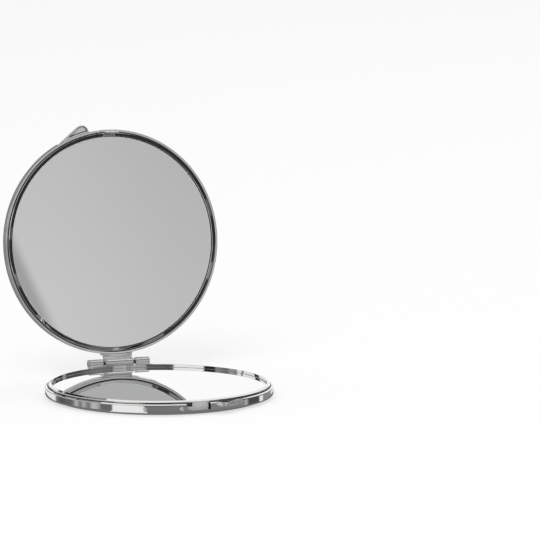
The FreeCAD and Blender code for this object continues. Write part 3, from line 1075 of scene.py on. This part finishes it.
def tab_outline(inset):
    """Plan of a tab, drawn in: a long slope, a rounded tip, a short return and the case's own curve."""
    root, end = on_circle(tab_root, case_radius), on_circle(tab_end, case_radius)
    tip = on_circle(tab_tip, case_radius + tab_reach)
    slope, back = (root - tip).normalized(), (end - tip).normalized()
    peak = tip + (slope + back).normalized() * (inset / math.sin(slope.angle(back) / 2))
    radius = case_radius + inset
    low, high = meeting(peak, slope, radius), meeting(peak, back, radius)
    plan = rounded([(*low, 0), (*peak, tab_rounding - rounding_loss * inset), (*high, 0)], guard=0)
    along = [high.x + (low.x - high.x) * step / CURVE_STEPS for step in range(1, CURVE_STEPS)]
    return plan + [on_circle(x, radius) for x in along]


def tab_mesh():
    """Tab with a pocket in its inner face, from its outer face to the pocket's floor."""
    levels = [
        (0, tab_drop + tab_thickness),
        (0, tab_drop),
        (tab_rim, tab_drop),
        (tab_rim + pocket_slope, tab_drop + pocket_depth),
    ]
    points = [[(*point, up) for point in tab_outline(inset)] for inset, up in levels]
    # The pocket's sides are the band that gets the second finish, the painted shade.
    work, rows = joined(points, POCKET_SIDES)
    rims = [edge for row in rows[:-1] for edge in edges_along(work, row, 1, PLAN_POINTS)]
    return edged(work, rims, tab_edge, cast_chrome, painted_shade_finish)


for body in places:
    add_piece(f"{body}_ear", tab_mesh(), body, "case_chrome", f"{body}_thumb_tab")
print(f"tabs: {tab_thickness / MM:.1f} mm thick")

# %% [markdown]
# The snap catch is a hooked plate in the lid and a spring strip in the base. Their solids already have the
# right shape and place, so each is copied, merged and given finely rounded edges.

# %% The catch plates
hook_edge, spring_edge = 0.05 * MM, 0.04 * MM
SOLID_MERGE = 5 * MERGE
FLAT_ANGLE = math.radians(1)
PLATE_STEPS = 2
IN_PLACE = Matrix.Identity(4)


def softened(node, finish, edge):
    """A copy of a solid's mesh with its flat faces joined and its edges rounded."""
    work = bmesh.new()
    work.from_mesh(frame["nodes"][node].data)
    bmesh.ops.remove_doubles(work, verts=work.verts, dist=SOLID_MERGE)
    bmesh.ops.dissolve_limit(work, angle_limit=FLAT_ANGLE, verts=work.verts, edges=work.edges)
    rims = [e for e in work.edges if len(e.link_faces) == 2 and e.calc_face_angle() > SHARP_ANGLE]
    return edged(work, rims, edge, finish, steps=PLATE_STEPS)


hook = softened("lid_catch_hook", spring_finish, hook_edge)
add_piece("lid_hook", hook, "lid", "spring_steel", "lid_catch_hook", place=IN_PLACE)
spring = softened("base_catch_spring", spring_finish, spring_edge)
add_piece("base_spring", spring, "base", "spring_steel", "base_catch_spring", place=IN_PLACE)
print("catch:", len(hook.polygons), "and", len(spring.polygons), "faces")

# %% [markdown]
# Two hollow rivets hold the spring. One rivet is turned, and a small Geometry Nodes tree sets it round
# the wall, each facing straight out.

# %% The rivets
strip_top = 1.9 * MM
rivet_height = (strip_top + notch_floor) / 2
rivet_shank, rivet_length = 0.4 * MM, 0.85 * MM
rivet_head, rivet_rise, rivet_bore = 0.65 * MM, 0.3 * MM, 0.3 * MM
rivet_dimple = [(0.28 * MM, 0.21 * MM), (0.22 * MM, 0.14 * MM), (0, 0.12 * MM)]
first_rivet, last_rivet = 5.1 * MM, 16.4 * MM
first_place, last_place = first_rivet / case_radius, last_rivet / case_radius


def rivet_tree():
    """Copies of a rivet round the front of the wall."""
    places_of = {"Count": "NodeSocketInt", "First": "NodeSocketFloat", "Step": "NodeSocketFloat"}
    sizes = {"Radius": "NodeSocketFloat", "Height": "NodeSocketFloat", "Finish": "NodeSocketMaterial"}
    sheet = NodeSheet("rivet_row", {**places_of, **sizes})
    angle = sheet.node("GeometryNodeInputIndex") * sheet.given("Step") + sheet.given("First")
    across, ahead = angle.math("SINE"), angle.math("COSINE") * -1
    radius = sheet.given("Radius")
    spot = sheet.node("ShaderNodeCombineXYZ", X=across * radius, Y=ahead * radius, Z=sheet.given("Height"))
    points = sheet.node("GeometryNodePoints", Count=sheet.given("Count"), Position=spot)
    outwards = sheet.node("ShaderNodeCombineXYZ", X=across, Y=ahead)
    facing = sheet.node("FunctionNodeAlignRotationToVector", {"axis": "Z"}, Vector=outwards)
    rivets = sheet.node(
        "GeometryNodeInstanceOnPoints", Points=points, Instance=sheet.given("Geometry"), Rotation=facing
    )
    sheet.close(rivets)
    return sheet


def rivet_mesh():
    """Hollow rivet: a shank, a low domed head and a dimple in it."""
    shank = [(0, -rivet_length), (rivet_shank, -rivet_length), (rivet_shank, 0)]
    head = [point for point in dome(rivet_head, 0, rivet_rise) if point[0] > rivet_bore]
    return turned([*shank, *head, *rivet_dimple], rivet_finish)


holder = in_scene("rivet", rivet_mesh())
rivets = rivet_tree().run(
    holder,
    Count=2,
    First=first_place,
    Step=last_place - first_place,
    Radius=case_radius,
    Height=rivet_height,
    Finish=rivet_finish,
)
bpy.data.objects.remove(holder)
add_piece("base_rivets", smooth(rivets), "base", "pin_steel", "base_catch_rivets")
print("rivets:", len(rivets.polygons), "faces")

# %% [markdown]
# Chrome and mirrors show the room more than themselves, so the studio is part of the finish. The world is
# white to the camera. To glossy rays it is a grey room. Tall dark and bright cards stand round the object,
# one set above table height and one below, and a grey screen stands in front. A dark curtain hangs in a
# wide ring round the screen, and the sloped lips show it as a black band round the mirrors.

# %% The studio
AMBIENT = 0.55
BLACK, DARK = (0, 0, 0), (0.03, 0.03, 0.03)
ROOM_GREYS = [(-90, 0.2), (-20, 0.28), (0, 0.34), (30, 0.45), (60, 0.6), (69, 0.6), (73, 0.18), (90, 0.18)]
CURTAIN_MIDDLE, CURTAIN, CURTAIN_SOFT = (0.324, -0.942, 0.087), (30, 64), 5.0
# A card: its two bearings and its two heights in degrees, and its grey.
CARDS = [
    ((46, 116), (-5, 66), 0.03),
    ((40, 85), (57, 69), 1.0),
    ((-66, -36), (14, 24), 1.0),
    ((140, 181), (-4, 85), 1.0),
    ((-181, -150), (-4, 85), 1.0),
    ((146, 181), (-36, -4), 0.5),
    ((-181, -150), (-36, -4), 0.5),
]
# A band of cards: its heights, and (bearing, grey) pairs all the way round.
HIGH_SPAN, HIGH_CARDS = (8, 12.5), [
    (-180, 0.9), (-161, 0.9), (-158, 0.85), (-134, 0.85), (-132, 0.95), (-114, 0.95), (-112, 0.25),
    (-104, 0.4), (-98, 0.15), (-84, 0.3), (-82, 0.02), (-70, 0.02), (-68, 1.0), (-36, 1.0), (-34, 0.1),
    (-7, 0.12), (-4, 0.42), (30, 0.42), (33, 0.15), (47, 0.2), (72, 0.14), (74, 0.08), (100, 0.08),
    (103, 0.4), (107, 0.4), (110, 0.03), (140, 0.04), (146, 1.0), (180, 1.0),
]
LOW_SPAN, LOW_CARDS = (-12.5, -8), [
    (-180, 0.95), (-151, 0.95), (-147, 0.2), (-138, 0.1), (-118, 0.16), (-112, 0.55), (-107, 0.2),
    (-102, 0.5), (-96, 0.18), (-90, 0.6), (-85, 0.5), (-80, 0.16), (-69, 0.16), (-67, 1.0), (-36, 1.0),
    (-34, 0.2), (34, 0.24), (75, 0.26), (79, 0.5), (83, 0.08), (101, 0.08), (103, 0.9), (109, 0.9),
    (111, 0.28), (132, 0.3), (138, 0.95), (180, 0.95),
]
SCREEN = ((11, 29), (-1, 29))
SCREEN_GREYS = [(-90, 0.61), (4.0, 0.61), (5.6, 0.548), (9, 0.53), (14, 0.51), (24, 0.53), (90, 0.53)]
SCREEN_SIDE, SCREEN_SIDE_DARK = (18.3, 20.1), 0.13
CORNER_BEARING, CORNER_SLANT = 20.03, 0.367
CORNER_SPAN, CORNER_DARK = (-0.045, 0.085), 0.38
DEGREES = 180 / math.pi


def greys(stops, low, high):
    """Ramp stops from (degrees, grey) pairs between two ends."""
    return [((angle - low) / (high - low), (grey, grey, grey)) for angle, grey in stops]


def within(sheet, value, span, soft=1.0):
    """1 between two ends and 0 outside, with soft edges."""
    return sheet.step(value, span[0] - soft, span[0]) * (1 - sheet.step(value, span[1], span[1] + soft))


def screen_shade(sheet, bearing, rise):
    """The grey screen in front, a little lighter low on the left, and dark past a slant at its corner."""
    shade = sheet.ramp(rise / 180 + 0.5, greys(SCREEN_GREYS, -90, 90))
    shade = sheet.mix(sheet.step(bearing, *SCREEN_SIDE) * SCREEN_SIDE_DARK, shade, BLACK)
    corner = CORNER_BEARING - bearing - rise * CORNER_SLANT
    return sheet.mix(sheet.step(corner, *CORNER_SPAN) * CORNER_DARK, shade, BLACK)


def studio_room(sheet):
    """What glossy rays see: a grey room with a dark curtain, cards and card bands, and the screen."""
    ray = sheet.node("ShaderNodeTexCoord")
    x = sheet.node("ShaderNodeSeparateXYZ", None, "X", Vector=ray)
    turn = x.math("ARCTAN2", x.also("Y") * -1) / math.tau
    bearing, rise = turn * 360, x.also("Z").math("ARCSINE") * DEGREES
    room = sheet.ramp(rise / 180 + 0.5, greys(ROOM_GREYS, -90, 90))
    away = sheet.vector("DOT_PRODUCT", ray, CURTAIN_MIDDLE, "Value").math("ARCCOSINE") * DEGREES
    room = sheet.mix(within(sheet, away, CURTAIN, CURTAIN_SOFT), room, DARK)
    for sides, heights, grey in CARDS:
        card = within(sheet, bearing, sides) * within(sheet, rise, heights)
        room = sheet.mix(card, room, (grey, grey, grey))
    for span, stops in ((HIGH_SPAN, HIGH_CARDS), (LOW_SPAN, LOW_CARDS)):
        band = sheet.ramp(turn + 0.5, greys(stops, -180, 180))
        room = sheet.mix(within(sheet, rise, span), room, band)
    screen = within(sheet, bearing, SCREEN[0]) * within(sheet, rise, SCREEN[1])
    return sheet.mix(screen, room, screen_shade(sheet, bearing, rise))


def studio_world():
    """White to the camera, a studio to glossy rays, even light to the rest."""
    world = bpy.data.worlds.new("studio")
    world.use_nodes = True
    sheet = Sheet(world.node_tree)
    path = sheet.node("ShaderNodeLightPath", None, "Is Camera Ray")
    clear = path.math("MAXIMUM", path.also("Is Transmission Ray"))
    seen = sheet.mix(path.also("Is Glossy Ray"), (AMBIENT, AMBIENT, AMBIENT), studio_room(sheet))
    seen = sheet.mix(clear, seen, (1, 1, 1))
    background = sheet.node("ShaderNodeBackground", Color=seen)
    output = sheet.tree.nodes.new("ShaderNodeOutputWorld")
    sheet.tree.links.new(background.socket, output.inputs["Surface"])
    return world


bpy.context.scene.world = studio_world()
print("world:", bpy.context.scene.world.name)

# %% [markdown]
# The world is far away on all sides, so what stands close to the object has to be built. Four cards are
# seen only in reflections: one behind the hinge, one beside the base, a dark disc on the table and a strip
# of white paper on it. The floor takes the shadow, and two soft lamps light what isn't chrome.

# %% Floor, near cards and lamps
FLOOR_SIZE, FLOOR_HEIGHT = 4.0, -0.02 * MM
FLOOR_GLOW, GLOW_SHARE = 1.1, 0.6
BEHIND_DEPTH = 95
BEHIND_SHAPE = [(-62, -11), (-8, -11), (-8, 8), (-28, 8), (-28, 70), (-8, 70), (-8, 140), (-62, 140)]
BESIDE_SHAPE = [(-47, -35, -6), (-33, -49, -6), (-33, -49, 11), (-47, -35, 11)]
TABLE_RADIUS, TABLE_HEIGHT, TABLE_TURN, TABLE_STEPS = 40, -0.3, 345, 23
PAPER_RADIUS, PAPER_HEIGHT, PAPER_FROM, PAPER_TO = 35, -0.2, -46, -26
BEHIND_GREY, BESIDE_GREY, TABLE_GREY, PAPER_GREY = 0.27, 1.0, 0.2, 1.0
LAMPS = {"key": ((-0.7, -0.9, 1.3), 0.9, 11.0), "fill": ((0.9, 0.5, 1.2), 1.0, 5.0)}


def pale_floor():
    """Floor that is white to the camera and still takes the object's shadow."""
    finish = Finish("pale_floor")
    grain = finish.noise(finish.place(), scale=300, detail=3.0)
    finish.set(Base_Color=finish.mix(grain, (0.9, 0.9, 0.9), (0.92, 0.92, 0.92)), Roughness=0.9)
    glow = finish.node("ShaderNodeEmission", Color=(1, 1, 1), Strength=FLOOR_GLOW)
    camera = finish.node("ShaderNodeLightPath", None, "Is Camera Ray")
    shader = Wire(finish.tree, finish.shader.outputs[0])
    inputs = {"Fac": camera * GLOW_SHARE, "Shader": shader, "Shader_001": glow}
    return finish.surface(finish.node("ShaderNodeMixShader", **inputs))


def add_floor(size, height):
    """Square floor under the object, hidden from glossy rays, which see the studio."""
    mesh = bpy.data.meshes.new("floor")
    corners = [(x, y, height) for x, y in ((-size, -size), (size, -size), (size, size), (-size, size))]
    mesh.from_pydata(corners, [], [(0, 1, 2, 3)])
    mesh.materials.append(pale_floor())
    floor = in_scene("floor", mesh)
    floor.visible_glossy = False


def add_card(name, corners, grey):
    """Grey card with its corners in millimetres, seen only by glossy rays."""
    finish = Finish(name)
    glow = finish.node("ShaderNodeEmission", Color=(grey, grey, grey))
    mesh = bpy.data.meshes.new(name)
    mesh.from_pydata([Vector(corner) * MM for corner in corners], [], [range(len(corners))])
    mesh.materials.append(finish.surface(glow))
    card = in_scene(name, mesh)
    for rays in ("camera", "diffuse", "shadow", "transmission"):
        setattr(card, f"visible_{rays}", False)


def arc_points(radius, first, last, height, steps=24):
    """Points on an arc round the object, in millimetres, between two bearings in degrees."""
    bearings = [math.radians(first + (last - first) * step / steps) for step in range(steps + 1)]
    return [(radius * math.sin(b), -radius * math.cos(b), height) for b in bearings]


def add_lamp(name, place, size, power):
    """Square soft lamp that looks at the object."""
    data = bpy.data.lights.new(name, "AREA")
    data.size = size
    data.energy = power
    lamp = in_scene(name, data)
    lamp.location = place
    lamp.rotation_mode = "QUATERNION"
    lamp.rotation_quaternion = (-Vector(place)).to_track_quat("-Z", "Y")
    lamp.visible_glossy = False
    lamp.visible_transmission = False


add_floor(FLOOR_SIZE, FLOOR_HEIGHT)
paper_inner = arc_points(PAPER_RADIUS, PAPER_FROM, PAPER_TO, PAPER_HEIGHT)
paper_outer = arc_points(TABLE_RADIUS, PAPER_TO, PAPER_FROM, PAPER_HEIGHT)
add_card("card_behind", [(across, BEHIND_DEPTH, up) for across, up in BEHIND_SHAPE], BEHIND_GREY)
add_card("card_beside", BESIDE_SHAPE, BESIDE_GREY)
add_card("card_table", arc_points(TABLE_RADIUS, 0, TABLE_TURN, TABLE_HEIGHT, TABLE_STEPS), TABLE_GREY)
add_card("card_paper", paper_inner + paper_outer, PAPER_GREY)
for name, settings in LAMPS.items():
    add_lamp(name, *settings)
print("lamps:", sorted(LAMPS))

# %% [markdown]
# The camera was fitted to the photograph: a long lens, a little to the left of the front and a little
# above, with the object on the left of the frame.

# %% The camera
AZIMUTH, ELEVATION = math.radians(-20.7), math.radians(8.8)
DISTANCE = 2.0
LENS = 432.5
AIM = Vector((37.64, 3.6, 36.7)) * MM
back = Vector((
    math.sin(AZIMUTH) * math.cos(ELEVATION), -math.cos(AZIMUTH) * math.cos(ELEVATION), math.sin(ELEVATION)
))
lens = bpy.data.cameras.new("camera")
lens.lens = LENS
camera = in_scene("camera", lens)
camera.location = AIM + back * DISTANCE
camera.rotation_mode = "QUATERNION"
camera.rotation_quaternion = (-back).to_track_quat("-Z", "Y")
bpy.context.scene.camera = camera
bpy.context.scene.view_settings.view_transform = "Standard"
print("camera at", [round(value, 3) for value in camera.location])
